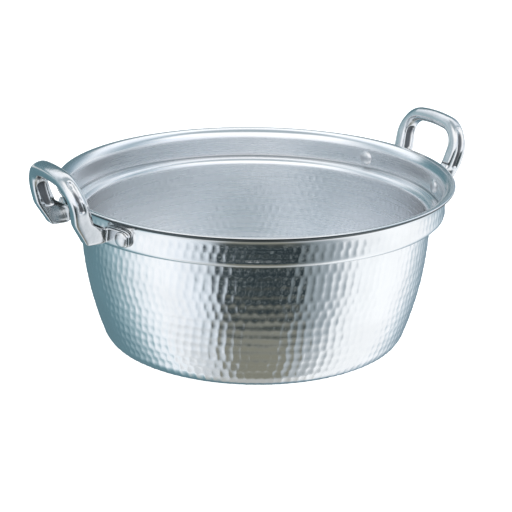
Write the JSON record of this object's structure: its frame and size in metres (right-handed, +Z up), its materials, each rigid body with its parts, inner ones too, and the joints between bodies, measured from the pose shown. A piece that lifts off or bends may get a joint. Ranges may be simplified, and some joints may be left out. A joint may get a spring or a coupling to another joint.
{
  "type": "stock pot",
  "caption": "Wide round aluminium cooking pot with a stepped collar, flared lip, hammered wall and a riveted cast loop handle on either side.",
  "frame": {"origin": "centre of the underside, on the surface the pot stands on", "axes": "+Z up; +X along the line of the two handles; +Y across it"},
  "size_m": [0.3704, 0.32, 0.1679],
  "materials": {
    "hammered_body": "polished outside with round hammer marks, satin inside",
    "cast_handle": "bright polished casting with rough hollows",
    "rivet": "polished"
  },
  "bodies": {
    "root": {"pot_body": "hammered_body", "right_handle": "cast_handle", "left_handle": "cast_handle", "rivet_right_front": "rivet", "rivet_right_rear": "rivet", "rivet_left_front": "rivet", "rivet_left_rear": "rivet"}
  },
  "joints": []
}
